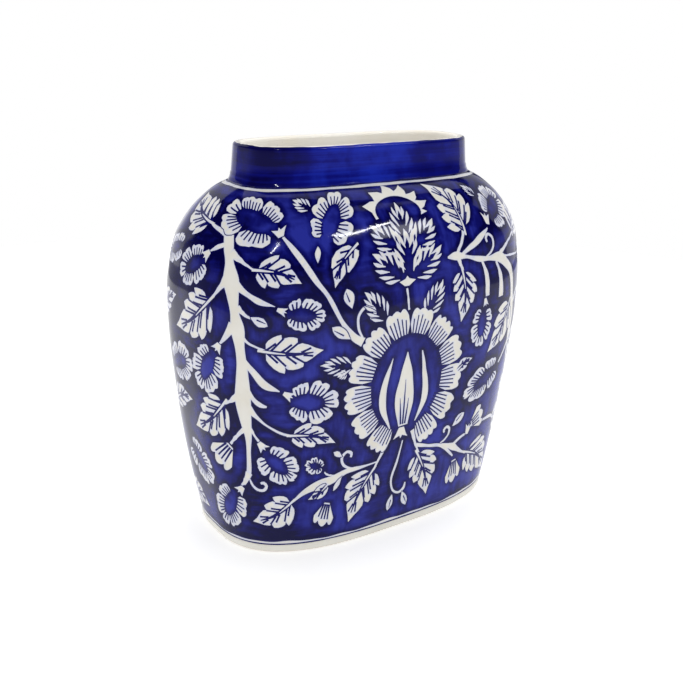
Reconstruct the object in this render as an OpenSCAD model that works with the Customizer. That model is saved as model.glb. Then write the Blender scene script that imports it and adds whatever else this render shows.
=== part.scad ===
// Flat oval flower vase in glazed pottery, built as the potter builds it:
// two press-moulded wall halves luted along the side seams, a floor slab let into a
// rebate inside them, a foot ring under both, and a collar lapped into the mouth.
// Millimetres. Origin at the middle of the foot's underside, +Z up, front face towards -Y.

/* [Body] */
// Height of the shoulder's top edge above the table
body_h = 209; // [180:1:240]
// Width across the belly, measured left to right
body_w = 228; // [200:1:260]
// Depth across the belly, measured front to back
body_d = 130; // [115:1:150]
// Thickness of the wall, square to its surface
wall_t = 5.5; // [4:0.5:7]

/* [Neck collar] */
// Height of the collar's lip above the shoulder's top edge
neck_h = 21; // [12:1:40]
// How much each side of the collar leans in from foot to lip
neck_lean = 1.3; // [0:0.1:3]
// Thickness of the collar's wall
neck_t = 5; // [4.5:0.5:6]
// Height of the tongue that laps into the mouth
tongue_h = 4.5; // [3:0.5:5]

/* [Base] */
// Height of the foot ring
foot_h = 5; // [3:0.5:7]
// Width of the foot ring's underside, from outer to inner edge
foot_t = 9; // [8:0.5:12]
// Thickness of the floor slab
floor_t = 6; // [5:0.5:8]
// How deep the floor slab is let into the wall
rebate = 2; // [1:0.5:3]

/* [Smoothness] */
// Facets round the girth, an even number
girth_facets = 96; // [48:4:120]
// Facets up the wall
rise_facets = 22; // [16:1:26]

/* [Hidden] */

// The wall's outline as shares of body_h, body_w / 2 and body_d / 2, and the roundness
// exponent of its plan: 2 is an ellipse, and a larger one is squarer.
Z = 0;
W = 1;
D = 2;
ROUND = 3;
profile = [
    [0.000, 0.833, 0.846, 2.8],
    [0.038, 0.846, 0.862, 2.8],
    [0.191, 0.904, 0.915, 2.8],
    [0.402, 0.961, 0.977, 2.8],
    [0.603, 0.996, 1.000, 2.8],
    [0.751, 0.994, 0.975, 2.8],
    [0.871, 0.939, 0.877, 2.8],
    [0.947, 0.833, 0.700, 2.9],
    [0.986, 0.732, 0.554, 3.2],
    [1.000, 0.680, 0.454, 3.4]
];
last = len(profile) - 1;

// Height at which the wall's inner face stops following the outer one and turns to the mouth
mouth_blend = 0.957 * body_h;
floor_top = foot_h + floor_t;
// The lip is rounded over to half a circle of this radius, in this many facets
lip_r = 2.2;
lip_steps = 6;
// The wall's slope is measured over this much height, up and down
slope_step = 0.2;
// How far the collar's foot stays inside the shoulder's edge
joint_gap = 0.2;

function lerp(a, b, t) = a + (b - a) * t;
function span_of(z, i = 0) =
    i >= last - 1 || z < profile[i + 1][Z] ? i : span_of(z, i + 1);
function rise(i) = profile[i + 1][Z] - profile[i][Z];
function chord(i, c) = (profile[i + 1][c] - profile[i][c]) / rise(i);
function tangent(i, c) =
    i == 0 ? chord(0, c) :
    i == last ? chord(last - 1, c) :
    (chord(i - 1, c) * rise(i) + chord(i, c) * rise(i - 1)) / (rise(i - 1) + rise(i));

// One column of the profile at a height share z, as a smooth curve through its rows
function curve(z, c) =
    let (i = span_of(z), h = rise(i), t = (z - profile[i][Z]) / h, s = 1 - t)
    (1 + 2 * t) * s * s * profile[i][c] + t * s * s * h * tangent(i, c)
    + t * t * (3 - 2 * t) * profile[i + 1][c] - t * t * s * h * tangent(i + 1, c);

function half_w(z) = body_w / 2 * curve(z / body_h, W);
function half_d(z) = body_d / 2 * curve(z / body_h, D);
function roundness(z) = curve(z / body_h, ROUND);

// The wall's thickness measured level, where the wall's face leans
function level_t(low, high) = wall_t * sqrt(1 + pow((high - low) / (2 * slope_step), 2));
function inner_w(z) = half_w(z) - level_t(half_w(z - slope_step), half_w(z + slope_step));
function inner_d(z) = half_d(z) - level_t(half_d(z - slope_step), half_d(z + slope_step));

// A ring is [half width, half depth, height, roundness]
function outer_ring(z) = [half_w(z), half_d(z), z, roundness(z)];
function inner_ring(z) = [inner_w(z), inner_d(z), z, roundness(z)];
function inset(ring, by, z) = [ring[0] - by, ring[1] - by, z, ring[3]];

function oval_point(ring, turn) =
    let (n = ring[3], c = cos(turn), s = sin(turn),
         reach = pow(pow(abs(c), n) + pow(abs(s), n), -1 / n))
    [ring[0] * reach * c, ring[1] * reach * s, ring[2]];
function oval(ring) = [
    for (i = [0 : girth_facets - 1])
        let (p = oval_point(ring, 360 * i / girth_facets)) [p[0], p[1]]
];

shoulder_top = outer_ring(body_h);
collar_foot = inset(shoulder_top, joint_gap, body_h);
mouth = inset(shoulder_top, neck_t / 2, body_h);
slab_ring = inset(inner_ring(floor_top), -rebate, floor_top);

// Sweeps a closed path of rings round the girth. A part turn gets flat ends, made of the faces
// in cut, each a list of places in the path.
module swept(path, from = 0, to = 360, cut = []) {
    full = to - from == 360;
    steps = girth_facets * (to - from) / 360;
    columns = full ? steps : steps + 1;
    m = len(path);
    points = [
        for (j = [0 : columns - 1]) for (p = path)
            oval_point(p, from + (to - from) * j / steps)
    ];
    sides = [
        for (j = [0 : steps - 1]) for (i = [0 : m - 1])
            let (near = j * m, far = ((j + 1) % columns) * m, next = (i + 1) % m)
            [near + i, near + next, far + next, far + i]
    ];
    first_end = [for (face = cut) [for (i = [len(face) - 1 : -1 : 0]) face[i]]];
    last_end = [for (face = cut) [for (i = face) steps * m + i]];
    polyhedron(points, concat(sides, first_end, last_end), convexity = 6);
}

// Levels crowd towards the shoulder, where the wall turns in
function level(i, bottom, top) = lerp(bottom, top, sin(90 * i / rise_facets));
rises = [0 : rise_facets];
outer_face = [for (i = rises) outer_ring(level(i, floor_top, body_h))];
inner_face = [for (i = rises) inner_ring(level(rise_facets - i, floor_top, mouth_blend))];
mouth_faces = [mouth, inset(mouth, 0, body_h - tongue_h)];
rebate_faces = [slab_ring, inset(slab_ring, 0, foot_h)];
wall_path = concat([outer_ring(foot_h)], outer_face, mouth_faces, inner_face, rebate_faces);

// The seam between the halves, as faces across the wall from the foot up to the mouth. Places
// are those in wall_path. The rebate's corner is level with the floor, so the wall's lowest
// piece above it is a triangle and a four-sided face, and neither has a straight corner.
function outer_place(i) = 1 + i;
function inner_place(i) = 2 * rise_facets + 4 - i;
rebate_place = inner_place(0) + 1;
function seam_face(i) = [outer_place(i), outer_place(i + 1), inner_place(i + 1), inner_place(i)];
foot_seam = [0, outer_place(0), rebate_place, rebate_place + 1];
floor_seams = [
    [outer_place(0), outer_place(1), rebate_place],
    [rebate_place, outer_place(1), inner_place(1), inner_place(0)]
];
wall_seams = [for (i = [1 : rise_facets - 1]) seam_face(i)];
mouth_seam = [for (i = [0 : 3]) outer_place(rise_facets) + i];
wall_cut = concat([foot_seam], floor_seams, wall_seams, [mouth_seam]);

module front_shell() {
    color("mediumblue") swept(wall_path, 180, 360, wall_cut);
}

module back_shell() {
    color("mediumblue") swept(wall_path, 0, 180, wall_cut);
}

module neck_collar() {
    lip = inset(collar_foot, neck_lean + lip_r, body_h + neck_h - lip_r);
    bore = inset(collar_foot, neck_t - joint_gap, body_h);
    tongue = [inset(mouth, 0, body_h - tongue_h), mouth, collar_foot];
    rounded_lip = [
        for (i = [0 : lip_steps])
            let (turn = 180 * i / lip_steps)
            inset(lip, -lip_r * cos(turn), lip[2] + lip_r * sin(turn))
    ];
    color("darkblue") swept(concat(tongue, rounded_lip, [bore, inset(bore, 0, body_h - tongue_h)]));
}

module base_slab() {
    color("ivory") translate([0, 0, foot_h]) linear_extrude(floor_t) polygon(oval(slab_ring));
}

module foot_ring() {
    outer = outer_ring(foot_h);
    color("ivory") linear_extrude(foot_h) difference() {
        polygon(oval(outer));
        polygon(oval(inset(outer, foot_t, 0)));
    }
}

front_shell();
back_shell();
neck_collar();
base_slab();
foot_ring();
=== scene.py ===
"""Looks of a flat oval flower vase: a glazed pot with cream foliage on a brushed cobalt ground.

The painting is planned flat, in millimetres on the unrolled wall: s runs round the girth from the
middle of the front towards +X, and h runs up the wall from the foot. It is cut into the mesh.
"""

from math import atan2, cos, dist, pi, radians, sin, tau
import random

import bpy
import numpy as np
from mathutils import Matrix, Vector, geometry, kdtree


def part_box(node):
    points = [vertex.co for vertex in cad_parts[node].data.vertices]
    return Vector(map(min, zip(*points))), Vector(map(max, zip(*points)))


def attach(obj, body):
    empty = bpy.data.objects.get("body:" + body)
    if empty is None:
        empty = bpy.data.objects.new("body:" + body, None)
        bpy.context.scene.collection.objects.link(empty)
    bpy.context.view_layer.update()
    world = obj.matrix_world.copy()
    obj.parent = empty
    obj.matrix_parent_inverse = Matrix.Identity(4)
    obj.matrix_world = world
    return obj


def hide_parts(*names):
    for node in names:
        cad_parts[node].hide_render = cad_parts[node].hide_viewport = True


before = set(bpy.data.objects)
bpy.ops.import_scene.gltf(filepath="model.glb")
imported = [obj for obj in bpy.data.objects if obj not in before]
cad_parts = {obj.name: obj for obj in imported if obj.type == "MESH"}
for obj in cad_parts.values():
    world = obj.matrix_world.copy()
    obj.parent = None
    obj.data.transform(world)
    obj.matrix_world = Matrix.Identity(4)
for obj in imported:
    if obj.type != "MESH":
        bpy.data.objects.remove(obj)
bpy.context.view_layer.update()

MM = 0.001
# The CAD nodes' lowest and highest corners, in mm
SHELL, COLLAR, RING, SLAB = (
    np.array(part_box(node)) / MM for node in ("front_shell", "neck_collar", "foot_ring", "base_slab"))
HALF_W = SHELL[1, 0]
HALF_D = -SHELL[0, 1]
BODY_H = SHELL[1, 2]
SHELL_FOOT = SHELL[0, 2]
WALL_T = 5.5
BELLY_ROUNDNESS = 2.8

# The wall's outline, as in the CAD source: shares of the body's height, width and depth, and the
# plan's exponent
PROFILE = np.array([
    [0.000, 0.833, 0.846, 2.8],
    [0.038, 0.846, 0.862, 2.8],
    [0.191, 0.904, 0.915, 2.8],
    [0.402, 0.961, 0.977, 2.8],
    [0.603, 0.996, 1.000, 2.8],
    [0.751, 0.994, 0.975, 2.8],
    [0.871, 0.939, 0.877, 2.8],
    [0.947, 0.833, 0.700, 2.9],
    [0.986, 0.732, 0.554, 3.2],
    [1.000, 0.680, 0.454, 3.4],
])


# ---- the wall as a surface

SLOPES = np.gradient(PROFILE, PROFILE[:, 0], axis=0)


def outline_at(z):
    """Half width, half depth and roundness of the wall's plan at heights z."""
    share = np.clip(np.asarray(z, float) / BODY_H, 0, 1)
    row = np.clip(np.searchsorted(PROFILE[:, 0], share, side="right") - 1, 0, len(PROFILE) - 2)
    low, high = PROFILE[row], PROFILE[row + 1]
    rise = (high - low)[..., :1]
    t = (share[..., None] - low[..., :1]) / rise
    value = (1 + 2 * t) * (1 - t) ** 2 * low + t * (1 - t) ** 2 * rise * SLOPES[row]
    value += t * t * (3 - 2 * t) * high - t * t * (1 - t) * rise * SLOPES[row + 1]
    return value[..., 1] * HALF_W, value[..., 2] * HALF_D, value[..., 3]


def oval_point(turn, half_w, half_d, roundness):
    """A point of a superellipse, at the angle turn."""
    c, s = np.cos(turn), np.sin(turn)
    reach = (np.abs(c) ** roundness + np.abs(s) ** roundness) ** (-1 / roundness)
    return reach * half_w * c, reach * half_d * s


def circle(count):
    """Angles all the way round."""
    return np.linspace(0, tau, count, endpoint=False)


def arc_lengths(*coordinates):
    steps = np.sqrt(sum(np.diff(c) ** 2 for c in coordinates))
    return np.concatenate([[0], np.cumsum(steps)])


# Girth to angle, over a full turn each way from the middle of the front
TURNS = np.radians(np.linspace(-450, 270, 7201))
GIRTHS = arc_lengths(*oval_point(TURNS, HALF_W, HALF_D, BELLY_ROUNDNESS))
GIRTHS -= GIRTHS[len(GIRTHS) // 2]
GIRTH = GIRTHS[-1]
SEAM = GIRTH / 4

# Distance up the wall to height
LEVELS = np.linspace(0, BODY_H, 2001)
RISES = arc_lengths(LEVELS, (outline_at(LEVELS)[0] + outline_at(LEVELS)[1]) / 2)
H_TOP = RISES[-1]
H_BOTTOM = float(np.interp(SHELL_FOOT, LEVELS, RISES))


def point_on(s, z, *plan):
    """The point at girth s of a level plan."""
    x, y = oval_point(np.interp(s, GIRTHS, TURNS), *plan)
    return np.stack([x, y, z], -1)


def true_point(s, h):
    z = np.interp(h, RISES, LEVELS)
    return point_on(s, z, *outline_at(z))


def normals_of(surface, s, h, step=0.5):
    across = surface(s + step, h) - surface(s - step, h)
    up = surface(s, np.minimum(h + step, H_TOP)) - surface(s, np.maximum(h - step, 0))
    normal = np.cross(across, up)
    return normal / np.linalg.norm(normal, axis=-1, keepdims=True)


# The hand's slow waves in the wall: size, how many go round, height for one radian, and phase
HAND_WAVES = ((0.22, 3, 38, 0.4), (0.16, 5, -27, 1.9), (0.11, 9, 17, 4.0), (0.07, 14, -12, 2.2))
STILL_EDGE = 25


def wall_point(s, h):
    """A point of the wall, uneven except at its edges."""
    turn = s / GIRTH * tau
    waves = sum(size * np.sin(count * turn + phase + h / pitch) for size, count, pitch, phase in HAND_WAVES)
    edge = np.clip(np.minimum(h - H_BOTTOM, H_TOP - h) / STILL_EDGE, 0, 1)
    off = waves * edge * edge * (3 - 2 * edge)
    return true_point(s, h) + normals_of(true_point, s, h) * off[..., None]


# ---- brush strokes, drawn flat

GROUND, EDGE, CREAM, INK, HEART, LINING = range(6)
# Cream laid over ink
STEM = INK + 0.5

# Layer, kind and outline of each. A layer's strokes are laid in the order of their kinds.
strokes = []
hand = random.Random(7)


def lay(layer, kind, outline):
    strokes.append((layer, kind, np.asarray(outline, float)))


def cream(outline, layer=1, edge=0.55, waver=0.12):
    """A cream shape with a thin dark edge round it."""
    shape = wavering(outline, waver)
    lay(layer, EDGE, shape + outward(shape) * edge)
    lay(layer, CREAM, shape)


def ink(outline, layer=1):
    lay(layer, INK, outline)


def outward(outline):
    """Unit vectors out of a closed outline at its corners."""
    along = np.roll(outline, -1, 0) - np.roll(outline, 1, 0)
    along /= np.maximum(np.linalg.norm(along, axis=1, keepdims=True), 1e-9)
    side = np.stack([along[:, 1], -along[:, 0]], 1)
    x, y = outline.T
    turns_left = np.dot(x, np.roll(y, -1)) > np.dot(y, np.roll(x, -1))
    return side if turns_left else -side


def wavering(outline, amount):
    """The outline as an unsteady brush leaves it."""
    outline = np.asarray(outline, float)
    turn = circle(len(outline))
    waves = sum(hand.uniform(-1, 1) * np.sin(k * turn + hand.uniform(0, tau)) for k in (2, 3, 5, 8))
    return outline + outward(outline) * (amount * waves)[:, None]


def smooth_line(rows, step):
    """A curve through rows that begin with s and h."""
    rows = np.array(rows, float)
    rows = np.vstack([2 * rows[0] - rows[1], rows, 2 * rows[-1] - rows[-2]])
    made = []
    for before, start, end, after in zip(rows, rows[1:], rows[2:], rows[3:]):
        count = max(2, int(np.hypot(*(end - start)[:2]) / step))
        t = np.arange(count)[:, None] / count
        made.append(0.5 * (2 * start + (end - before) * t
                           + (2 * before - 5 * start + 4 * end - after) * t ** 2
                           + (3 * start - before - 3 * end + after) * t ** 3))
    return np.vstack(made + [rows[-2:-1]])


def ribbon(rows, step=1.3):
    """The outline of one brush stroke through rows of s, h and width."""
    line = smooth_line(rows, step)
    along = np.gradient(line[:, :2], axis=0)
    along /= np.maximum(np.linalg.norm(along, axis=1, keepdims=True), 1e-9)
    side = np.stack([-along[:, 1], along[:, 0]], 1) * line[:, 2:] / 2
    return np.vstack([line[:, :2] + side, (line[:, :2] - side)[::-1]])


def placed(points, base, angle, mirror=1):
    """Points drawn about (0, 0), facing +x, moved to base and turned by angle."""
    points = np.asarray(points, float) * [1, mirror]
    c, s = cos(angle), sin(angle)
    return points @ np.array([[c, s], [-s, c]]) + base


def reach_of(base, tip):
    """Length and angle of the line from base to tip."""
    step = np.subtract(tip, base)
    return float(np.hypot(*step)), atan2(step[1], step[0])


def wedge(start, end, width, tip_width=0.3):
    """A short tapering ink stroke."""
    middle = (np.add(start, end) / 2).tolist()
    return ribbon([[*start, width], [*middle, width * 0.8], [*end, tip_width]], step=3)


# ---- motifs

def branch(*rows):
    cream(ribbon(rows), layer=0, waver=0.15)


def twig(foot, *rows):
    """A side branch, broad where it leaves the trunk."""
    branch(np.multiply(foot, (1, 1, 2.1)), *rows)


# The edges of a leaf's lobes and of its tip: shares of the way along, and of the half width
LOBE = ((0.06, 0.80), (0.22, 0.98), (0.48, 1.08), (0.78, 1.16), (1.04, 1.20), (1.07, 0.98))
LEAF_TIP = ((0.04, 0.74), (0.2, 0.94), (0.45, 1.0), (0.7, 0.9))
LEAF_SLIT = 1.4
# Shares of a leaf's length, and the widths there of its channel, in slits, and of its stem
CHANNEL = ((-0.03, 1.3), (0.15, 2.1), (0.5, 1.4), (0.82, 0.5))
SHAFT = ((-0.12, 1.5), (0.1, 1.2), (0.34, 0.4))
# No lobe ends past this share of the length
LAST_LOBE = 0.9


def leaf(base, tip, width, lobes=3, bend=0.08):
    """A leaf of lobes that lean to its tip, with cuts between them, slits in them, and the stem
    running on into a dark channel."""
    length, angle = reach_of(base, tip)
    mirror = 1 if bend >= 0 else -1
    curve = abs(bend) * length

    def at(along, across):
        """A point at shares of the length and of the half width."""
        inside = min(1.0, max(0.0, along))
        body = (sin(pi * (0.10 + 0.90 * inside) ** 0.70)) ** 1.05 if inside < 1 else 0.0
        return [along * length, curve * sin(pi * along) + across * body * width / 2]

    def put(kind, shape):
        lay(1, kind, placed(shape, base, angle, mirror))

    def cut(low, inner, high, outer, end_width):
        put(INK, wedge(at(low, inner), at(high, outer), LEAF_SLIT, end_width * LEAF_SLIT))

    def side(sign):
        points = []
        for low, high in zip(ends[sign], [*ends[sign][1:], 1.0]):
            edge = LOBE if high < 1 else LEAF_TIP
            points += [at(low + (high - low) * v, sign * out) for v, out in edge]
        return points

    ends = {sign: np.linspace(0.0, 0.58 + 0.05 * sign, lobes) for sign in (1, -1)}
    outline = side(1) + [[length, 0]] + side(-1)[::-1]
    cream(placed(outline, base, angle, mirror))
    put(INK, ribbon([[*at(share, 0), wide * LEAF_SLIT] for share, wide in CHANNEL], 3))
    for sign in (1, -1):
        for low, high in zip(ends[sign], [*ends[sign][1:], LAST_LOBE]):
            reach = high - low
            slots = (0.62,)
            if high < LAST_LOBE:
                out = 0.98 if hand.random() < 0.4 else 0.76
                cut(high - 0.17, sign * 0.1, high + 0.05 * out, sign * out, 0.8)
                slots = (0.42, 0.78) if reach * length > 11 else slots
            for slot in slots:
                along = low + reach * slot
                cut(along - 0.15, sign * 0.12, along + 0.02, sign * hand.uniform(0.58, 0.72), 0.9)
    put(STEM, ribbon([[*at(share, 0), wide] for share, wide in SHAFT], 3))


def petal(ring, start, end, lobes, reach, slit=1.2, square=5.5):
    """One petal of a ring between two angles: a scalloped cap with slits that open at its foot.
    ring(angle, share) gives a point from the ring's inner edge, share 0, to its outer one, share 1."""
    across = np.linspace(0, 1, 7 * lobes + 3)
    cap = (1 - np.abs(2 * across - 1) ** square) ** 0.5
    scallop = 1 - 0.13 * (1 - np.abs(np.sin(pi * lobes * across)) ** 0.8)
    shares = (0.42 + 0.58 * cap) * scallop * reach
    span = end - start
    tops = [ring(start + span * v, share) for v, share in zip(across, shares)]
    feet = [ring(start + span * v, 0.0) for v in (0.9, 0.5, 0.1)]
    cream(np.array(tops + feet), edge=0.5, waver=0.2)
    pitch = 2.45
    slits = max(2, round(dist(ring(start, 0.5), ring(end, 0.5)) / pitch) - 1)
    for number in range(slits):
        v = (number + 0.95) / (slits + 0.9)
        turn = start + span * v
        high = 0.62 * reach * (0.82 + 0.25 * sin(pi * v) + hand.uniform(-0.12, 0.12))
        ink(wedge(ring(turn, -0.15), ring(turn, high), slit, 0.75 * slit))


def oval_ring(centre, angle, outer, inner, shift=0.0):
    """ring(angle, share) for petal(), on ovals with the half lengths outer and inner."""
    outer, inner = np.array(outer), np.array(inner)

    def ring(turn, share):
        radius = inner + (outer - inner) * share
        point = radius * [cos(turn), sin(turn)]
        return placed([point + [shift * (1 - share), 0]], centre, angle)[0]
    return ring


def heart(ring, share, count):
    """The cobalt inside a ring of petals and a little way under them."""
    lay(0.5, HEART, [ring(turn, share) for turn in circle(count)])


def flower(centre, length, width, angle, opening=58):
    """A flower from the side: petals round a long heart, open at the calyx. Angles are degrees."""
    outer, inner = (length / 2, width / 2), (0.64 * length / 2, 0.41 * width / 2)
    ring = oval_ring(centre, radians(angle), outer, inner, shift=-0.06 * length)
    heart(ring, 0.3, 24)
    first = radians(180 - opening / 2)
    gap = radians(1.6)
    shares = [hand.uniform(0.72, 1.28) for _ in range(5)]
    low = -first
    for share in shares:
        span = 2 * first * share / sum(shares)
        lobes = 3 if hand.random() < 0.6 else 2
        petal(ring, low + gap, low + span - gap, lobes, hand.uniform(0.88, 1.1))
        low += span


CALYX = ((0, -0.18), (0, 0.18), (0.6, 0.35), (1, 0.5), (0.75, 0.1), (1.05, 0), (0.75, -0.1),
         (1, -0.5), (0.6, -0.35))


def calyx(base, tip, width):
    """The cream cup under a flower, with two points."""
    length, angle = reach_of(base, tip)
    cream(placed(np.array(CALYX) * [length, width], base, angle), edge=0.6, waver=0.05)


def drop(base, tip, width, slit=True):
    """A bud or small leaf: round at the tip's end, pointed at its base."""
    length, angle = reach_of(base, tip)
    u = np.linspace(0, 1, 9)
    half = width / 2 * np.sin(np.pi * u ** 1.25) ** 0.85
    half[-1] = 0
    there = np.stack([length * u, half], 1)
    shape = np.vstack([there, (there * [1, -1])[-2:0:-1]])
    cream(placed(shape, base, angle), edge=0.6, waver=0.08)
    if slit:
        stroke = wedge([0.35 * length, 0.06 * width], [0.85 * length, 0.16 * width], 0.9)
        ink(placed(stroke, base, angle))


# A tendril that hooks round into a small knob: two shares of its size, and the width
TENDRIL = ((0, 0, 0.9), (0.45, 0.02, 1.5), (0.85, 0.22, 1.7), (1.0, 0.6, 1.7), (0.78, 0.9, 1.8),
           (0.5, 0.82, 2.0), (0.48, 0.6, 1.4))


def curl(base, angle, size, mirror=1):
    shape = ribbon(np.array(TENDRIL) * [size, size, 1], 1.0)
    cream(placed(shape, base, radians(angle), mirror), layer=0, edge=0.6, waver=0.05)


# Where a leaflet's prongs start and end, as shares of its length and of its width
PRONGS = ((0.88, 0.25, 0.54, 0.08), (0.74, 0.43, 0.38, 0.15), (0.56, 0.55, 0.21, 0.19),
          (0.35, 0.57, 0.04, 0.16))
# Along a prong: shares of the way from its point to its root, of its bow and of its thickness
FLAME = ((0.16, 0.5, 0.5), (0.42, 1.0, 1.0), (0.75, 0.5, 0.6))


def serrated(base, tip, width, prongs=4):
    """A leaflet of prongs round a dark middle, which point back to its base."""
    length, angle = reach_of(base, tip)
    thick = 0.58 * width / prongs

    def prong(u, v, root_u, root_v, wide):
        bow = 0.04 if v > 0 else -0.04
        rows = [(u + way * (root_u - u), v + way * (root_v - v) + lean * bow, share * wide)
                for way, lean, share in FLAME]
        rows = [(u, v, 0.1), *rows, (root_u, root_v, 0.3)]
        flame = ribbon(np.array(rows) * [length, width, 1], 1.6)
        cream(placed(flame, base, angle), edge=0.45, waver=0.06)

    for u, v, root_u, root_v in PRONGS[:prongs]:
        for sign in (1, -1):
            prong(u, sign * v, root_u, sign * root_v, thick)
    for sign in (1, -1):
        prong(1.0, 0.0, 0.62, 0.10 * sign, 0.9 * thick)


def bell(base, tip, width):
    """A bud like a fan, scalloped at its mouth, with slits that spread from its base."""
    length, angle = reach_of(base, tip)
    mouth = []
    for v in np.linspace(-1, 1, 19):
        bulge = 1 - 0.20 * (1 - abs(sin(1.5 * pi * (v + 1))) ** 0.8)
        along = length * (0.52 + 0.48 * cos(1.2 * v) ** 0.8) * bulge
        mouth.append([along, width / 2 * sin(1.5 * v)])
    outline = [[0.02 * length, -0.12 * width], *mouth, [0.02 * length, 0.12 * width]]
    cream(placed(outline, base, angle), edge=0.6, waver=0.05)
    for spread in (-0.62, -0.24, 0.14, 0.5):
        end = [hand.uniform(0.62, 0.74) * length, spread * 0.42 * width]
        stroke = wedge([0.08 * length, spread * 0.25 * width], end, 1.4, 1.0)
        ink(placed(stroke, base, angle))


def palmette(centre):
    """The open fruit in the middle of each face, with a bud in its heart."""
    ring = oval_ring(centre, radians(90), (45, 43.5), (30, 26.5))
    heart(ring, 0.12, 48)
    petals = 12
    opening = radians(32)
    span = (tau - opening) / petals
    for number in range(petals):
        start = pi + opening / 2 + span * number
        lobes = 4 if hand.random() < 0.5 else 3
        reach = hand.uniform(0.95, 1.05)
        petal(ring, start + 0.025 * span, start + 0.975 * span, lobes, reach, slit=1.1, square=5)
    # Rows of s, h and width from the fruit's middle
    bud = ((-1, -27, 7), (-1.5, -12, 13.5), (-1, 4, 9.6), (-0.8, 19, 0.5))
    sepals = (((-11, -27, 0.6), (-17, -13, 4.6), (-17, 0, 4.4), (-11.5, 17, 0.6)),
              ((8, -26, 0.6), (14, -13, 4.4), (13.5, 0, 4), (10, 18, 0.6)))
    slits = (((-3.0, -26), (-4.6, -9)), ((-1.4, -26), (-1.2, 2)), ((0.2, -26), (1.8, -10)))
    cream(ribbon(np.add(bud, [*centre, 0]), 2), layer=2)
    for foot, top in slits:
        ink(wedge(np.add(foot, centre), np.add(top, centre), 1.3), layer=2)
    for sepal in sepals:
        cream(ribbon(np.add(sepal, [*centre, 0]), 2), layer=2)


# The thistle's leaflets, from its cup: root, tip and width
LEAFLETS = (((-3, -2), (-23, 13), 15), ((5, -2), (27, 13), 15), ((1.7, 1), (1.7, 25), 17),
            ((-4, 13), (-22, 29), 14.5), ((7, 13), (26, 29), 14.5), ((1.7, 17), (2, 42), 16))


def thistle(base):
    """The spray of toothed leaflets over the palmette."""
    cup = ((-5.5, -4.5), (-1.5, -3.2), (0, -1.5), (1.5, -3.2), (6, -4.2), (1, -7.2), (-2, -7.2))
    stalk = ((-0.5, -8.5, 1.3), (0.3, -15, 1.3), (1, -21, 1.3))
    cream(np.add(cup, base), waver=0.05)
    cream(ribbon(np.add(stalk, [*base, 0])))
    for root, tip, width in LEAFLETS:
        serrated(np.add(base, root), np.add(base, tip), width)


def crown(centre, outer, inner):
    """A half ring of broad pointed fins over the thistle."""
    tips = (165, 134, 99, 65, 38, 14, -12)
    fin = ((0.0, 1.13), (0.18, 1.02), (0.42, 0.92), (0.60, 0.79), (0.85, 0.93))
    edge = [(196, 0.80), (178, 0.84)]
    for tip, after in zip(tips, tips[1:]):
        edge += [(tip + (after - tip) * share, reach) for share, reach in fin]

    def point(turn, reach, radii):
        return np.array(centre) + np.array(radii) * reach * [cos(turn), sin(turn)]

    tops = [point(radians(turn), reach, outer) for turn, reach in edge]
    low = [point(turn, 1, inner) for turn in np.radians(np.linspace(-22, 200, 22))]
    cream(np.array(tops + low), waver=0.1)


# ---- where the motifs are

def left_tree():
    branch((-117, 191, 6.5), (-114, 182, 6), (-112, 175, 5), (-110, 166, 9), (-108.5, 157, 6.5),
           (-107.5, 149, 4.8), (-106, 140, 7.5), (-105, 130, 5.2), (-104.5, 121, 5.5),
           (-105, 110, 7.5), (-105.5, 99, 9), (-105, 86, 6.5), (-104.5, 77, 4), (-105, 68, 2.6),
           (-106, 54, 3), (-110, 46, 2))
    twig((-112, 180, 2.5), (-104, 175, 1.6), (-96, 171, 1))
    leaf((-96, 171.5), (-72, 164), 15)
    twig((-110, 166, 3), (-101, 159, 2.4), (-94, 155, 3), (-86, 152.5, 0.6))
    calyx((-85, 151), (-80, 149), 5)
    flower((-70, 147), 24, 19, -8)
    twig((-106, 152, 1.6), (-102, 148, 1.6), (-98, 146, 1.4))
    drop((-99, 147), (-90, 142), 5)
    twig((-107, 141, 2.5), (-101, 133, 1.6), (-92, 128.5, 1))
    leaf((-92, 128), (-60, 127), 18, bend=-0.05)
    twig((-105, 124, 2), (-99, 117, 3), (-93, 109, 4.5), (-85, 105, 0.8))
    calyx((-83, 104), (-78, 101), 6)
    flower((-67, 97), 31, 26, -10)
    twig((-104, 110, 1.2), (-100, 101, 2.4), (-96, 97, 2.8), (-92.5, 96, 1))
    twig((-104, 96, 2.5), (-97, 88, 1.8), (-86, 80, 1.6), (-78, 77.5, 1))
    leaf((-79, 78), (-53, 70), 13)
    twig((-105, 86, 1.5), (-101, 79, 1.6), (-98, 74, 1.2))
    calyx((-98.5, 74), (-95, 69.5), 7)
    flower((-88, 59), 28, 22, -48)
    curl((-106, 50), -72, 9)

    twig((-117, 190, 2.5), (-127, 192, 1.8), (-136, 195, 1.2))
    leaf((-136, 194.5), (-174, 210), 21, lobes=4)
    twig((-114, 185, 1.4), (-121, 182, 2.4), (-126, 179, 1))
    calyx((-126, 179), (-130, 175), 7)
    flower((-140, 169), 32, 22, 208)
    twig((-111, 168, 3), (-117, 160, 2), (-123, 153, 1))
    leaf((-123, 153), (-158, 131), 22, lobes=4)
    twig((-108, 142, 3), (-113, 135, 2.6), (-117, 130.5, 1.2))
    calyx((-117, 130.5), (-120, 126), 7)
    flower((-128, 114), 33, 23, 240)
    twig((-107, 102, 3), (-113, 98, 1.8), (-120, 93, 1))
    leaf((-118, 95), (-147, 73), 20, lobes=4)
    twig((-106, 82, 1.4), (-111, 77, 2), (-116, 71, 1.6))
    bell((-116, 70), (-129, 56), 18)
    twig((-106, 54, 2), (-109, 48, 2.6), (-112, 45, 1))
    calyx((-111, 44), (-115, 40), 7)
    flower((-124, 28), 34, 24, 240)


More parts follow.
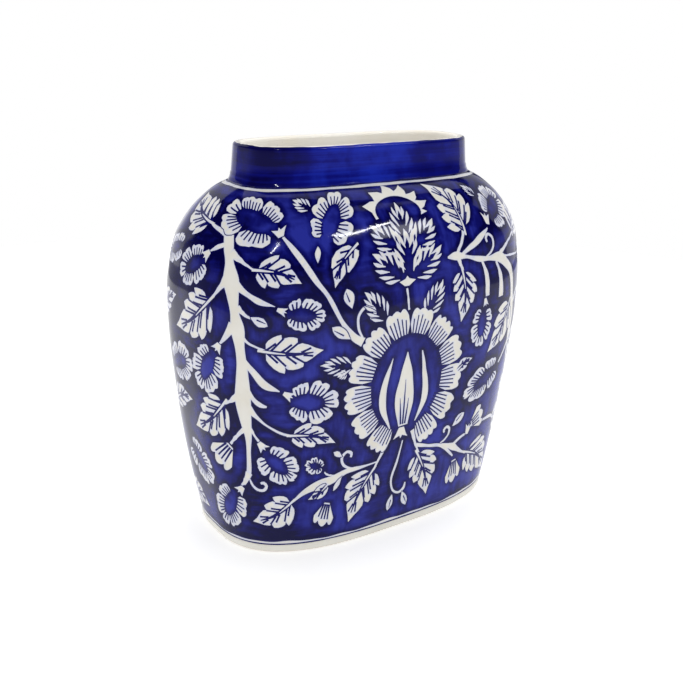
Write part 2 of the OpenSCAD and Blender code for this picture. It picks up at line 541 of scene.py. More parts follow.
def side_tree():
    """What shows of the next tree."""
    flower((-167, 174), 30, 18, 195)
    leaf((-179, 137), (-157, 149), 12)
    flower((-156, 110), 30, 24, 20)
    leaf((-173, 82), (-147, 89), 13)
    flower((-149, 49), 34, 24, -35)
    leaf((-176, 22), (-152, 16), 15)


def upper_sprays():
    flower((-106, 199), 47, 29, 160)
    calyx((-85, 189), (-87, 194), 9)
    branch((-84, 189, 1.6), (-78, 183, 2.6), (-72, 176, 3.4), (-64, 165, 2.6), (-57, 156, 2.4),
           (-49, 141, 2.6), (-42, 132, 4), (-36, 128, 5.5))
    flower((-53, 199), 36, 30, 70)
    serrated((-66, 204), (-82, 212), 8, prongs=3)
    drop((-63, 174), (-63, 183), 3.4, slit=False)
    leaf((-40, 181), (-53, 160), 13, lobes=2, bend=-0.12)
    drop((-43, 148), (-46, 159), 6.5)
    curl((-36, 130), 118, 15, mirror=-1)
    drop((-44, 131), (-55, 139), 6)
    serrated((-21, 139), (-35, 156), 12)
    serrated((8, 137), (20, 156), 12)
    serrated((-43, 115), (-62, 118), 10)
    serrated((-45, 112), (-52, 110), 5, prongs=3)
    crown((-3.5, 199), (24.5, 18.3), (17.8, 10.6))
    thistle((-6, 163))


def lower_sprays():
    branch((-22, 51, 1), (-34, 50, 1.8), (-45, 49.5, 3.4), (-54, 46, 5), (-64, 44, 5.6),
           (-74, 40, 3), (-82, 34, 1.4), (-88, 30, 1))
    leaf((-82, 34), (-108, 21), 18)
    leaf((-58, 43), (-71, 35), 7, lobes=2)
    drop((-48, 47), (-54, 38), 3, slit=False)
    curl((-38, 50), 168, 12, mirror=-1)
    drop((-48, 60), (-54, 64), 3.4, slit=False)
    branch((-50, 48, 1), (-57, 49.5, 1), (-60, 52, 1))
    flower((-66, 57), 12, 11, 160, opening=30)
    bell((-58, 31), (-63, 15), 14)
    branch((-14, 66, 2.6), (-20, 55, 1.8), (-27, 42, 1.4), (-31, 34, 1))
    leaf((-26, 45), (-43, 14), 21, lobes=4, bend=-0.06)
    calyx((-6, 70), (-6, 63), 11)
    branch((-4, 61, 1), (-7, 47, 1.5), (-10, 36, 1.5), (-8, 28, 1.5), (-3, 25, 1.6), (1, 27, 2.2),
           (2, 31, 1))
    drop((-8, 25), (-11, 14), 5)
    drop((0, 25), (5, 14), 5)
    branch((3, 66, 3), (6, 58, 2), (9, 52, 1.4), (13, 44, 1))
    leaf((10, 48), (23, 17), 20, lobes=4, bend=0.06)
    branch((8, 55, 2.4), (18, 52, 2), (29, 49.5, 2.4), (37, 44, 2), (44, 38, 1))
    bell((46, 35), (49, 18), 15)
    branch((30, 49.5, 2), (42, 45, 4.4), (52, 39, 2), (62, 35, 1))
    leaf((60, 36), (94, 14), 22, lobes=4)
    branch((41, 46, 2.4), (50, 50, 2), (56, 51, 1))
    calyx((55, 50), (56, 57), 7)
    bell((58, 56), (70, 62), 17)
    curl((29, 51), 20, 9)
    drop((38, 60), (48, 67), 6)
    branch((72, 55, 1.6), (84, 54, 2.4), (94, 50, 1))


def round_the_side():
    """What the camera never sees: the right tree's far twigs."""
    leaf((95, 174), (113, 193), 16)
    leaf((99, 160), (121, 158), 15)
    branch((90, 128, 2.4), (95, 135, 2), (100, 138, 1))
    calyx((99, 137), (103, 135), 6)
    flower((112, 130), 26, 20, -35)
    branch((91, 108, 4), (93, 96, 2.6), (97, 88, 1.4))
    leaf((92, 104), (119, 101), 17)
    calyx((97, 88), (99, 84), 7)
    flower((106, 71), 32, 24, -60)
    leaf((93, 50), (116, 43), 15)
    drop((90, 52), (97, 60), 5)
    flower((108, 24), 27, 20, -20)


def right_tree():
    branch((25, 168, 0.8), (32, 168, 5), (41, 166.5, 2), (51, 164, 3.4), (60, 163, 3), (71, 162, 7),
           (78, 157, 6), (84, 150, 5), (88, 135, 4), (90, 122, 6), (91, 106, 4))
    branch((32, 169, 2), (38, 176, 2), (42, 184, 2), (44, 192, 1.2))
    leaf((43, 184), (30, 217), 27, lobes=4, bend=-0.17)
    branch((33, 167, 3), (36, 159, 2), (36, 152, 1.2))
    leaf((36, 158), (35, 128), 17, lobes=4)
    branch((35, 168, 1), (45, 172, 3.6), (56, 177, 3.4), (64, 181, 1))
    calyx((66, 183), (68, 190), 8)
    flower((85, 194), 38, 26, 30)
    serrated((73, 201), (66, 212), 8, prongs=3)
    curl((57, 164), 20, 12)
    branch((53, 163, 1.4), (57, 152, 3.6), (58, 140, 3.6))
    branch((67, 160, 1.6), (71, 150, 3.4), (72, 137, 5))
    branch((72, 164, 3), (82, 169, 1.8), (94, 174, 1))
    branch((76, 162, 1.4), (88, 160.5, 1.2), (99, 160, 0.8))
    flower((54, 122), 27, 20, 262)
    calyx((56, 139), (57, 134), 5)
    leaf((84, 130), (63, 103), 20)
    leaf((36, 98), (48, 103), 7, lobes=2)
    flower((63, 85), 40, 23, 200)
    branch((80, 92, 1.4), (86, 98, 2), (91, 106, 2.6))


def half_pattern():
    """The painting of one face."""
    left_tree()
    side_tree()
    right_tree()
    round_the_side()
    lower_sprays()
    palmette((-4, 98))
    upper_sprays()


def band(low, high, kind, layer, wander):
    """A band all the way round, with unsteady edges."""
    s = np.arange(-GIRTH * 0.51, GIRTH * 0.51 + 2, 2.5)
    turn = s / GIRTH * tau

    def unsteady(phase):
        waves = np.sin(7 * turn + phase) + 0.7 * np.sin(17 * turn + 2 * phase)
        return wander * (waves + 0.5 * np.sin(31 * turn - phase))
    lower = np.stack([s, low + unsteady(low)], 1)
    upper = np.stack([s, high + unsteady(high + 1)], 1)
    lay(layer, kind, np.vstack([lower, upper[::-1]]))


def paint():
    """Both faces, the second moved half way round with a slow drift, and the bands."""
    half_pattern()
    front = len(strokes)
    half_pattern()
    for number, (layer, kind, outline) in enumerate(strokes[front:], front):
        s, h = outline.T
        drift = np.stack([np.sin(h / 31 + 1) + np.sin(s / 23), np.sin(s / 19 + h / 40)], 1)
        strokes[number] = (layer, kind, outline + 1.6 * drift + [GIRTH / 2, 0])
    band(-2, 7.2, CREAM, 5, 0.34)
    band(6.7, 7.8, EDGE, 4, 0.34)
    band(5.1, 6.05, INK, 6, 0.07)
    band(218.4, 221.9, EDGE, 4, 0.18)
    band(219.0, 221.3, CREAM, 5, 0.18)


# ---- cutting the painting into the wall

def inside(points, outline):
    """Which points an outline goes round."""
    x, y = points[:, :1], points[:, 1:]
    x0, y0 = outline.T
    x1, y1 = np.roll(x0, -1), np.roll(y0, -1)
    turn = (x1 - x0) * (y - y0) - (x - x0) * (y1 - y0)
    rising = (y0 <= y) & (y < y1) & (turn > 0)
    falling = (y1 <= y) & (y < y0) & (turn < 0)
    return rising.sum(1) != falling.sum(1)


def strokes_between(low, high):
    """The strokes, or their next turns round, that reach between two girths."""
    for layer, kind, outline in sorted(strokes, key=lambda stroke: stroke[:2]):
        for turns in (-1, 0, 1):
            moved = outline + [turns * GIRTH, 0]
            if moved[:, 0].max() > low and moved[:, 0].min() < high:
                yield kind, moved


def loop_edges(first, count):
    return [(first + i, first + (i + 1) % count) for i in range(count)]


def triangles_of(points, edges, low, high, with_origins):
    """A drawing's points, its triangles between two corners, anticlockwise, and the given points
    that each point was."""
    found, _, faces, origins, *_ = geometry.delaunay_2d_cdt(
        [Vector(point) for point in points], edges, [], 0, 1e-4, with_origins)
    found = np.array([tuple(point) for point in found])
    faces = np.array([face for face in faces if len(face) == 3])
    a, b, c = (found[faces[:, k]] for k in range(3))
    faces = np.where((np.cross(b - a, c - a) > 0)[:, None], faces, faces[:, ::-1])
    centres = found[faces].mean(1)
    return found, faces[(centres > low).all(1) & (centres < high).all(1)], origins


def grid_lines(low, high, spacing):
    return np.linspace(low, high, int((high - low) / spacing) + 1)


def cut_wall(s_low, s_high, spacing=2.2):
    """Flat points, triangles and their kinds for one half of the wall."""
    seen = list(strokes_between(s_low, s_high))
    columns = grid_lines(s_low, s_high, spacing)
    rows = grid_lines(H_BOTTOM, H_TOP, spacing)
    border = [[s, H_BOTTOM] for s in columns[:-1]] + [[s_high, h] for h in rows[:-1]]
    border += [[s, H_TOP] for s in columns[:0:-1]] + [[s_low, h] for h in rows[:0:-1]]
    points = border + [[s, h] for s in columns[1:-1] for h in rows[1:-1]]
    edges = loop_edges(0, len(border))
    for _, outline in seen:
        edges += loop_edges(len(points), len(outline))
        points += outline.tolist()
    flat, faces, _ = triangles_of(points, edges, [s_low, H_BOTTOM], [s_high, H_TOP], False)
    faces = faces[np.argsort(flat[faces].mean(1)[:, 0])]
    centres = flat[faces].mean(1)
    kinds = np.full(len(faces), GROUND)
    for kind, outline in seen:
        low, high = outline.min(0), outline.max(0)
        near = np.arange(*np.searchsorted(centres[:, 0], [low[0], high[0]]))
        near = near[(centres[near, 1] > low[1]) & (centres[near, 1] < high[1])]
        kinds[near[inside(centres[near], outline)]] = CREAM if kind == STEM else kind
    used, faces = np.unique(faces, return_inverse=True)
    return flat[used], faces.reshape(-1, 3), kinds


# ---- the wall's two halves

TONGUE_LOW = COLLAR[0, 2]
FLOOR_TOP = SLAB[1, 2]
MOUTH_INSET = 2.5
INNER_TURNS_IN = 200.0
# The inner face starts this far above the floor slab's rim, measured up the wall
FLOOR_STEP = 0.5


def level_thickness(z, step=0.2):
    """The leaning wall's thickness measured level, in width and depth."""
    above, below = outline_at(z + step), outline_at(z - step)
    return [WALL_T * np.hypot(1, (a - b) / (2 * step)) for a, b in zip(above[:2], below[:2])]


def inner_face():
    """Rows of rise, half width, half depth, height and roundness up the wall's inner face."""
    z = np.linspace(FLOOR_TOP, INNER_TURNS_IN, 80)
    width, depth, roundness = outline_at(z)
    thick_w, thick_d = level_thickness(z)
    face = np.stack([np.interp(z, LEVELS, RISES), width - thick_w, depth - thick_d, z, roundness], 1)
    top_w, top_d, top_round = outline_at(BODY_H)
    mouth = [top_w - MOUTH_INSET, top_d - MOUTH_INSET]
    low_round = outline_at(SHELL_FOOT)[2]
    floor_row = [face[0, 0], *SLAB[1, :2], FLOOR_TOP, low_round]
    face[0, 0] += FLOOR_STEP
    return np.vstack([
        [H_BOTTOM, *SLAB[1, :2], SHELL_FOOT, low_round],
        floor_row,
        face,
        [(face[-1, 0] + H_TOP) / 2, *mouth, TONGUE_LOW, top_round],
        [H_TOP, *mouth, BODY_H, top_round],
    ])


INNER_FACE = inner_face()


def inner_point(s, h):
    rises, *columns = INNER_FACE.T
    width, depth, z, roundness = (np.interp(h, rises, column) for column in columns)
    return point_on(s, z, width, depth, roundness)


def border_of(faces):
    """The directed edges that only one face has."""
    edges = np.vstack([faces[:, [0, 1]], faces[:, [1, 2]], faces[:, [2, 0]]]).tolist()
    there = set(map(tuple, edges))
    return [(a, b) for a, b in edges if (b, a) not in there]


def cut_lining(flat, border, spacing=7.0):
    """A plain inner face that shares the painted face's border."""
    names = sorted({a for a, _ in border})
    place = {name: i for i, name in enumerate(names)}
    points = flat[names]
    low, high = points.min(0), points.max(0)
    columns = grid_lines(low[0], high[0], spacing)[1:-1]
    rows = np.concatenate([INNER_FACE[1:3, 0], np.arange(low[1] + 2 * spacing, INNER_FACE[-3, 0], spacing),
                           INNER_FACE[-3:-1, 0]])
    grid = [(s, h) for s in columns for h in rows]
    edges = [(place[a], place[b]) for a, b in border]
    found, faces, origins = triangles_of([*points, *grid], edges, low, high, True)
    same = {names[old]: new for new, olds in enumerate(origins) for old in olds if old < len(names)}
    return found, faces, same


def new_object(name, data):
    made = bpy.data.objects.new(name, data)
    bpy.context.collection.objects.link(made)
    return made


def mesh_piece(name, points, faces, kinds, materials):
    """A smooth object, from points in mm and a material number for each face."""
    mesh = bpy.data.meshes.new(name)
    mesh.from_pydata((np.asarray(points) * MM).tolist(), [], [list(face) for face in faces])
    mesh.polygons.foreach_set("material_index", np.asarray(kinds, np.int32))
    mesh.shade_smooth()
    for material in materials:
        mesh.materials.append(material)
    return new_object(name, mesh)


def edge_distances(flat, faces, kinds, reach=6.0):
    """How far each point is from where cream meets cobalt, as a share of reach."""
    touches = np.zeros((2, len(flat)), bool)
    for side, found in enumerate((kinds == CREAM, kinds != CREAM)):
        touches[side, faces[found].ravel()] = True
    edge_points = flat[touches.all(0)]
    tree = kdtree.KDTree(len(edge_points))
    for number, (s, h) in enumerate(edge_points):
        tree.insert((s, h, 0), number)
    tree.balance()
    return [min(1.0, tree.find((s, h, 0))[2] / reach) for s, h in flat]


def wall_half(name, node, middle, materials):
    """Half of the wall: painted outside, lined inside, and closed along its rims."""
    flat, faces, kinds = cut_wall(middle - SEAM, middle + SEAM)
    border = border_of(faces)
    lining, lining_faces, same = cut_lining(flat, border)
    outer, inner = wall_point(*flat.T), inner_point(*lining.T)
    count = len(outer)
    rims = [(b, a, count + same[a], count + same[b]) for a, b in border]
    all_faces = faces.tolist() + (lining_faces[:, ::-1] + count).tolist() + rims
    all_kinds = kinds.tolist() + [LINING] * (len(lining_faces) + len(rims))
    piece = mesh_piece(name, np.vstack([outer, inner]), all_faces, all_kinds, materials)
    mesh = piece.data
    away = mesh.attributes.new("away", "FLOAT", "POINT")
    away.data.foreach_set("value", edge_distances(flat, faces, kinds) + [1.0] * len(inner))
    corners = np.empty(len(mesh.loops), np.int32)
    mesh.loops.foreach_get("vertex_index", corners)
    normals = np.empty(3 * len(mesh.loops))
    mesh.corner_normals.foreach_get("vector", normals)
    normals = normals.reshape(-1, 3)
    painted = 3 * len(faces)
    normals[:painted] = normals_of(wall_point, *flat.T)[corners[:painted]]
    mesh.normals_split_custom_set(normals.tolist())
    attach(piece, "root")
    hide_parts(node)


# ---- swept pieces

def swept_piece(name, rings, kinds, materials, columns=360, capped=False):
    """Sweeps a path of rings round the pot, closed or with capped ends. A ring is half width, half
    depth, height and roundness, each one number or one for each column. kinds are the materials of
    the bands after each ring."""
    turn = circle(columns)
    points = []
    for width, depth, height, roundness in rings:
        x, y = oval_point(turn, width, depth, roundness)
        points.append(np.stack([x, y, np.broadcast_to(height, turn.shape)], 1))
    count = len(rings)
    pairs = [(column, (column + 1) % columns) for column in range(columns)]
    faces = []
    face_kinds = []
    for ring in range(count - 1 if capped else count):
        here, after = ring * columns, (ring + 1) % count * columns
        faces += [(here + column, here + beside, after + beside, after + column) for column, beside in pairs]
        face_kinds += [kinds[ring]] * columns
    if capped:
        first, last = count * columns, (count - 1) * columns
        points.append(np.array([[0, 0, rings[0][2]], [0, 0, rings[-1][2]]], float))
        for column, beside in pairs:
            faces += [(first, beside, column), (first + 1, last + column, last + beside)]
            face_kinds += [kinds[0], kinds[-1]]
    return mesh_piece(name, np.vstack(points), faces, face_kinds, materials)


def wander(terms, columns=360):
    """A sum of slow waves round the girth: (count, size, phase)."""
    turn = circle(columns)
    return sum(size * np.sin(number * turn + phase) for number, size, phase in terms)


def collar_piece(materials):
    """The collar: a tongue inside the mouth, a cove of glaze at its foot, and a rounded lip."""
    half_w, half_d, roundness = outline_at(BODY_H)
    lean = 1.3
    lip_r = 2.2
    thickness = 5.0
    # The angle on the lip where the cobalt stops and the cream begins
    cobalt_end = 66
    lip_z = COLLAR[1, 2] - lip_r
    uneven = wander(((3, 0.10, 1.0), (7, 0.07, 0.3), (12, 0.05, 2.0)))
    droop = wander(((2, 0.12, 0.7), (5, 0.09, 2.4), (9, 0.05, 4.1)))
    border = wander(((4, 0.07, 0.5), (11, 0.06, 1.7), (23, 0.05, 3.0), (41, 0.03, 5.0)))

    def ring(offset, z, share=1.0):
        """A ring off the shoulder's edge, with a share of the hand's wander."""
        off = offset + share * uneven
        return [half_w + off, half_d + off, z + share * droop * 0.6, roundness]

    rings = [ring(-MOUTH_INSET + 0.05, TONGUE_LOW, 0), ring(-MOUTH_INSET + 0.05, BODY_H - 0.9, 0)]
    cove = ((1.3, -0.8, 0), (0.95, -0.1, 0.1), (0.45, 1.0, 0.3), (0.12, 2.1, 0.5), (-0.1, 3.6, 0.7))
    rings += [ring(offset, BODY_H + rise, share) for offset, rise, share in cove]
    face = -0.2
    for share in (0.25, 0.5, 0.75, 0.92):
        rings.append(ring(face - lean * share, BODY_H + (lip_z - BODY_H) * share))
    kinds = [1, 1] + [0] * (len(rings) - 2)
    for angle in (0, 12, 24, 38, 52, 66, 80, 100, 125, 150, 180):
        turn = radians(angle) + (border if angle == cobalt_end else 0)
        rings.append(ring(face - lean - lip_r + lip_r * np.cos(turn), lip_z + lip_r * np.sin(turn)))
        kinds.append(0 if angle < cobalt_end else 1)
    for inset, z, share in ((0.6, BODY_H + 10, 1.0), (0.0, BODY_H + 1, 0.5), (0.0, TONGUE_LOW, 0.0)):
        rings.append(ring(-thickness - inset, z, share))
    kinds += [1, 1, 1]
    piece = swept_piece("collar", rings, kinds, materials)
    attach(piece, "root")
    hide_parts("neck_collar")


def foot_piece(materials):
    """The foot ring: glazed outside, wiped round its bottom edge and bare underneath."""
    base_w, base_d, top = RING[1]
    roundness = outline_at(top)[2]
    width = 9.0
    edge_r = 1.4
    # The angle round the bottom edge where the glaze was wiped off
    glaze_end = 50
    uneven = wander(((5, 0.08, 0.2), (9, 0.06, 1.3), (16, 0.04, 3.3)))

    def ring(inset, z, share=1.0):
        return [base_w - inset + share * uneven, base_d - inset + share * uneven, z, roundness]

    rings = [ring(0.05, top, 0.0), ring(0.25, top * 0.62)]
    kinds = [0, 0]
    for angle in (0, 25, 50, 70, 90):
        turn = radians(angle)
        rings.append(ring(0.35 + edge_r * (1 - cos(turn)), edge_r * (1 - sin(turn))))
        kinds.append(0 if angle < glaze_end else 1)
    rings += [ring(width - 1.2, 0.0), ring(width - 0.35, 0.35), ring(width, 1.2, 0.5), ring(width, top, 0.0)]
    kinds += [1, 1, 0, 0]
    piece = swept_piece("foot", rings, kinds, materials)
    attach(piece, "root")
    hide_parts("foot_ring")


def floor_piece(materials):
    """The slab inside: faintly dished, with glaze pooled where it meets the wall."""
    rim = SLAB[1, :2] - 0.1
    wall = INNER_FACE[2, 1:3]
    low, top = SLAB[:, 2]
    roundness = outline_at(SHELL_FOOT)[2]

    def ring(half_sizes, z):
        return [*half_sizes, z, roundness]

    rings = [ring(rim * share, low) for share in (0.1, 0.5, 0.96)]
    rings += [ring(rim, low + 0.4), ring(rim, top)]
    for inset, rise in ((-0.5, 1.7), (0.6, 0.9), (2.0, 0.3), (4.5, 0.0)):
        rings.append(ring(wall - inset, top + rise))
    for share in (0.9, 0.7, 0.5, 0.3, 0.1):
        rings.append(ring((wall - 5) * share, top - 0.4 * (1 - share)))
    piece = swept_piece("floor_slab", rings, [0] * len(rings), materials, columns=240, capped=True)
    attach(piece, "root")
    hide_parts("base_slab")


# ---- materials

def new_tree(name):
    material = bpy.data.materials.new(name)
    material.use_nodes = True
    return material, material.node_tree


def fill(node, values):
    """Sets or links a node's inputs. A colour is given as three numbers."""
    for key, value in values.items():
        socket = node.inputs[key]
        if isinstance(value, bpy.types.NodeSocket):
            node.id_data.links.new(value, socket)
        else:
            socket.default_value = (*value, 1) if socket.type == "RGBA" else value


def add(near, kind, values, **settings):
    """A shader node in the tree that near is or belongs to, with its settings and inputs."""
    node = near.id_data.nodes.new("ShaderNode" + kind)
    for key, value in settings.items():
        setattr(node, key, value)
    fill(node, values)
    return node


def noise(place, scale, detail=2.0, roughness=0.5, distortion=0.0):
    values = {"Vector": place, "Scale": scale, "Detail": detail, "Roughness": roughness}
    return add(place, "TexNoise", values | {"Distortion": distortion}).outputs["Fac"]


def spots(place, scale):
    """How far each point is from the nearest of some scattered ones."""
    return add(place, "TexVoronoi", {"Vector": place, "Scale": scale}).outputs["Distance"]


def stretched(place, scale, turn=(0, 0, 0)):
    return add(place, "Mapping", {"Vector": place, "Scale": scale, "Rotation": turn}).outputs["Vector"]


def weighted(total, *terms):
    """total plus each socket times its weight."""
    for socket, weight in terms:
        values = {0: socket, 1: weight, 2: total}
        total = add(socket, "Math", values, operation="MULTIPLY_ADD").outputs[0]
    return total


def between(share, low, high, from_low=0.0, from_high=1.0):
    values = {"Value": share, "From Min": from_low, "From Max": from_high, "To Min": low, "To Max": high}
    return add(share, "MapRange", values).outputs["Result"]


def ramp(share, places, colours):
    """Colours that change along share, one at each of its places."""
    node = add(share, "ValToRGB", {"Fac": share})
    elements = node.color_ramp.elements
    while len(elements) < len(colours):
        elements.new(0.5)
    for element, place, colour in zip(elements, places, colours):
        element.position = place
        element.color = (*colour, 1)
    return node.outputs["Color"]


def mixed(share, first, second):
    """A colour between two. Mix has colours at inputs 6 and 7 and output 2."""
    return add(share, "Mix", {0: share, 6: first, 7: second}, data_type="RGBA").outputs[2]


def bump(strength, depth, height):
    return add(height, "Bump", {"Strength": strength, "Distance": depth, "Height": height}).outputs[0]


def material_of(name, surface):
    """A material whose shader has the values or links that surface(place) gives."""
    material, tree = new_tree(name)
    place = add(tree, "TexCoord", {}).outputs["Object"]
    fill(tree.nodes["Principled BSDF"], surface(place))
    return material


def glazed(name, colour):
    """A colour, or what colour(place) gives, under a wavy clear glaze with a few pinholes."""
    def surface(place):
        pits = between(spots(place, 130), 0.0, 1.0, 0.025, 0.055)
        height = weighted(noise(place, 62, 1.5), (noise(place, 620, 2), 0.05), (pits, 0.22))
        return {"Base Color": colour(place) if callable(colour) else colour, "IOR": 1.5,
                "Specular IOR Level": 0.17,
                "Roughness": between(noise(place, 55, 3), 0.05, 0.11, 0.3, 0.7),
                "Normal": bump(1.0, 0.00010, height)}
    return material_of(name, surface)


# Cobalt from where it pooled to where it is thin
COLLAR_TONES = ((0.0022, 0.0016, 0.046), (0.0036, 0.0050, 0.155), (0.0085, 0.0200, 0.330))
GROUND_TONES = ((0.0013, 0.0010, 0.038), (0.0042, 0.0050, 0.118), (0.0170, 0.0230, 0.250))
EDGE_TONE = (0.0035, 0.0033, 0.080)
INK_TONE = (0.0030, 0.0035, 0.090)


def brushed_cobalt(place, tones, places, streaks, *steps):
    """Cobalt laid on with a brush, in streaks of its tones. Each step moves it along them."""
    slow = noise(place, 21, 2, 0.5, 0.6)
    middle = noise(place, 75, 3, 0.55, 0.3)
    steps = [(step, 1.0) for step in steps]
    share = weighted(-0.09, (slow, 0.60), (middle, 0.28), (streaks, 0.30), *steps)
    return ramp(share, places, tones)


def away(near):
    """How far a point of the wall is from where cream meets cobalt."""
    return add(near, "Attribute", {}, attribute_name="away").outputs["Fac"]


def pooled_cobalt(near, reach):
    """Cobalt pools along the brush edges, and is thin where there is room."""
    return between(away(near), -0.13, 0.03, 0.0, reach)


def shaded_left_end(place, shade_depth, far, near):
    """Painted shade: a step down the tones towards the pot's left end, standing in for the weaker light on
    that end.
    """
    across = add(place, "SeparateXYZ", {0: place}).outputs["X"]
    return between(across, shade_depth, 0.0, far, near)


def cobalt_ground(place):
    one_way = noise(stretched(place, (60, 60, 300), (0.5, 0.3, 0)), 1, 2)
    other_way = noise(stretched(place, (260, 70, 60), (0, 0.5, 0.4)), 1, 2)
    which = between(noise(place, 30, 1), 0, 1, 0.42, 0.58)
    streaks = add(place, "Mix", {"Factor": which, "A": one_way, "B": other_way}).outputs["Result"]
    # The second step is painted shade: the ground darkens towards the pot's left end
    steps = pooled_cobalt(place, 0.6), shaded_left_end(place, -0.07, -0.100, -0.060)
    return brushed_cobalt(place, GROUND_TONES, (0.39, 0.49, 0.62), streaks, *steps)


def flower_heart(place):
    streaks = noise(stretched(place, (150, 150, 90)), 1, 2)
    step = pooled_cobalt(place, 0.5)
    return brushed_cobalt(place, GROUND_TONES, (0.36, 0.48, 0.61), streaks, step)


def cobalt_collar(place):
    """Banded level by a brush held still while the pot turned."""
    streaks = noise(stretched(place, (9, 9, 420)), 1, 4, 0.6)
    # Painted shade: the collar's tones darken towards its left end
    step = shaded_left_end(place, -0.14, -0.062, -0.046)
    return brushed_cobalt(place, COLLAR_TONES, (0.34, 0.48, 0.62), streaks, step)


def cream_brushwork(place):
    """Bare slip: warm where it is open, bluish where cobalt ran into it."""
    warm = ramp(noise(place, 60, 3), (0.35, 0.6), ((0.63, 0.605, 0.54), (0.665, 0.65, 0.605)))
    open_share = between(away(place), 0.0, 1.0, 0.0, 0.17)
    smudge = between(noise(place, 170, 3), 0.0, 0.40, 0.45, 0.75)
    return mixed(open_share, mixed(smudge, (0.56, 0.575, 0.665), (0.42, 0.46, 0.67)), warm)


def speckled(low, high):
    """Cream glaze between two tones, with brown specks."""
    def colour_of(place):
        tone = ramp(noise(place, 26, 4, 0.6), (0.35, 0.62), (low, high))
        return mixed(between(spots(place, 210), 0.45, 0.0, 0.03, 0.07), tone, (0.36, 0.26, 0.15))
    return colour_of


def bare_clay(place):
    """The wiped underside of the foot: buff clay, gritty and dull."""
    grit = noise(place, 900, 4, 0.7)
    tone = ramp(noise(place, 70, 4), (0.35, 0.65), ((0.50, 0.39, 0.27), (0.64, 0.53, 0.39)))
    return {"Base Color": mixed(between(grit, 0.35, 0.0, 0.3, 0.5), tone, (0.30, 0.22, 0.15)),
            "Roughness": between(grit, 0.75, 0.95), "Normal": bump(0.8, 0.0002, grit)}


# ---- the vase

def make_vase():
    lining = glazed("cream_lining", speckled((0.90, 0.85, 0.75), (0.94, 0.91, 0.85)))
    foot_glaze = glazed("foot_glaze", speckled((0.66, 0.64, 0.58), (0.73, 0.715, 0.665)))
    # In the order of the kinds, from GROUND to LINING
    painted = [glazed("cobalt_ground", cobalt_ground), glazed("cobalt_edge", EDGE_TONE),
               glazed("cream_brushwork", cream_brushwork), glazed("cobalt_ink", INK_TONE),
               glazed("flower_heart", flower_heart), lining]
    paint()
    wall_half("wall_front", "front_shell", 0, painted)
    wall_half("wall_back", "back_shell", GIRTH / 2, painted)
    collar_piece([glazed("cobalt_collar", cobalt_collar), lining])
    foot_piece([foot_glaze, material_of("bare_clay", bare_clay)])
    floor_piece([lining])


# ---- camera, floor and light

CAMERA_PLACE = Vector((-0.31426, -0.45065, 0.2910))
CAMERA_TURN = radians(34.89)
CAMERA_DOWN = radians(14.78)
CAMERA_ROLL = radians(1.39)
LENS_MM = 48.5
SHIFT = (-0.0146, -0.0985)
VASE_MIDDLE = Vector((0, 0, 0.12))
LIGHT_DISTANCE = 1.3
TABLE_RADIUS = 800


def add_camera():
    data = bpy.data.cameras.new("camera")
    data.sensor_width = 36.0
    data.lens = LENS_MM
    data.shift_x, data.shift_y = SHIFT
    camera = new_object("camera", data)
    turn = Matrix.Rotation(-CAMERA_TURN, 4, "Z") @ Matrix.Rotation(pi / 2 - CAMERA_DOWN, 4, "X")
    camera.matrix_world = Matrix.Translation(CAMERA_PLACE) @ turn @ Matrix.Rotation(CAMERA_ROLL, 4, "Z")
    bpy.context.scene.camera = camera


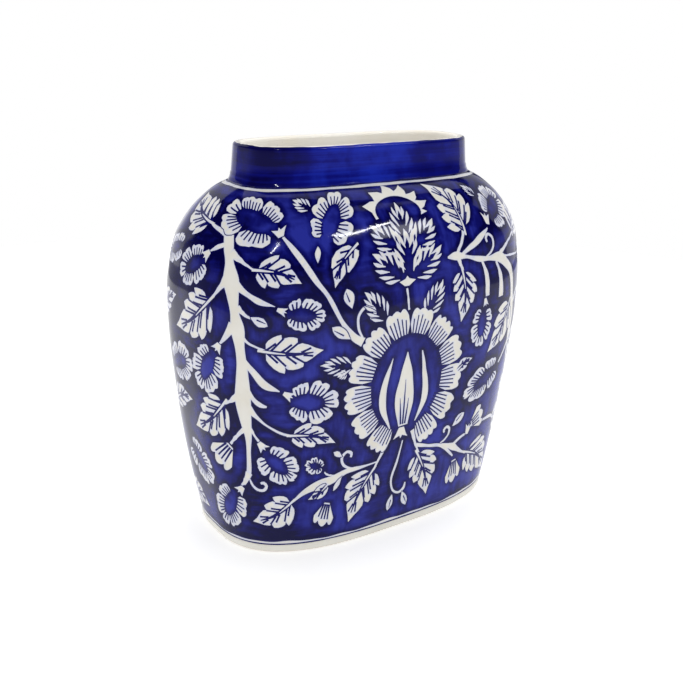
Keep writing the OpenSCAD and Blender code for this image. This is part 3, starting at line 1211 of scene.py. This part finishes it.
def soft_box(name, turn, rise, width, height, brightness, roll=0.0, glints_only=False):
    """A light aimed at the vase: degrees to the camera's right and up, metres, and radiance."""
    data = bpy.data.lights.new(name, "AREA")
    data.shape = "RECTANGLE"
    data.size, data.size_y = width, height
    data.energy = brightness * pi * width * height
    turn, rise = radians(turn) - CAMERA_TURN, radians(rise)
    level = cos(rise)
    way = LIGHT_DISTANCE * Vector((level * sin(turn), -level * cos(turn), sin(rise)))
    lamp = new_object(name, data)
    lamp.location = VASE_MIDDLE + way
    facing = (-way).to_track_quat("-Z", "Y").to_matrix() @ Matrix.Rotation(radians(roll), 3, "Z")
    lamp.rotation_euler = facing.to_euler()
    lamp.visible_camera = False
    lamp.visible_diffuse = not glints_only


def add_lights():
    soft_box("light_left", -138, 14, 1.0, 1.0, 0.9)
    soft_box("light_right", 136, 14, 1.0, 1.0, 0.9)
    soft_box("light_above", 165, 62, 1.7, 0.9, 1.1)
    soft_box("long_strip", 71.5, 43.5, 0.34, 0.024, 100, roll=-6, glints_only=True)
    soft_box("window", 78, 37, 0.26, 0.14, 8.6, roll=-6, glints_only=True)
    soft_box("short_strip", 11, 40, 0.014, 0.34, 185, roll=-26, glints_only=True)


def add_floor():
    """A white table top, lit through. The veil that the wall mirrors ends at its edge."""
    turns = circle(96)
    rim = TABLE_RADIUS * np.stack([np.cos(turns), np.sin(turns), 0 * turns], 1)
    material, tree = new_tree("white_table")
    fill(tree.nodes["Principled BSDF"], {
        "Base Color": (0.85, 0.85, 0.85), "Roughness": 0.8, "Specular IOR Level": 0.0,
        "Emission Color": (1, 1, 1), "Emission Strength": 0.33})
    floor = mesh_piece("table_top", rim, [range(len(rim))], [0], [material])


def add_world():
    """An even white surround. The glaze mirrors a room instead, which darkens above the table."""
    world = bpy.data.worlds.new("studio")
    bpy.context.scene.world = world
    world.use_nodes = True
    tree = world.node_tree
    tree.nodes.clear()
    aim = add(tree, "TexCoord", {}).outputs["Generated"]
    rise = add(tree, "SeparateXYZ", {0: aim}).outputs["Z"]
    fade = ramp(rise, (0.0, 0.06, 0.15, 0.28), (
        (0.50, 0.50, 0.55), (0.24, 0.24, 0.29), (0.05, 0.05, 0.07), (0.010, 0.010, 0.014)))
    surround, room = (add(tree, "Background", {"Color": colour, "Strength": 1.0}).outputs[0]
                      for colour in ((1, 1, 1), fade))
    mirrored = add(tree, "LightPath", {}).outputs["Is Glossy Ray"]
    both = add(tree, "MixShader", {0: mirrored, 1: surround, 2: room})
    add(tree, "OutputWorld", {"Surface": both.outputs[0]})


make_vase()
add_camera()
add_floor()
add_world()
add_lights()
bpy.context.scene.view_settings.view_transform = "Standard"
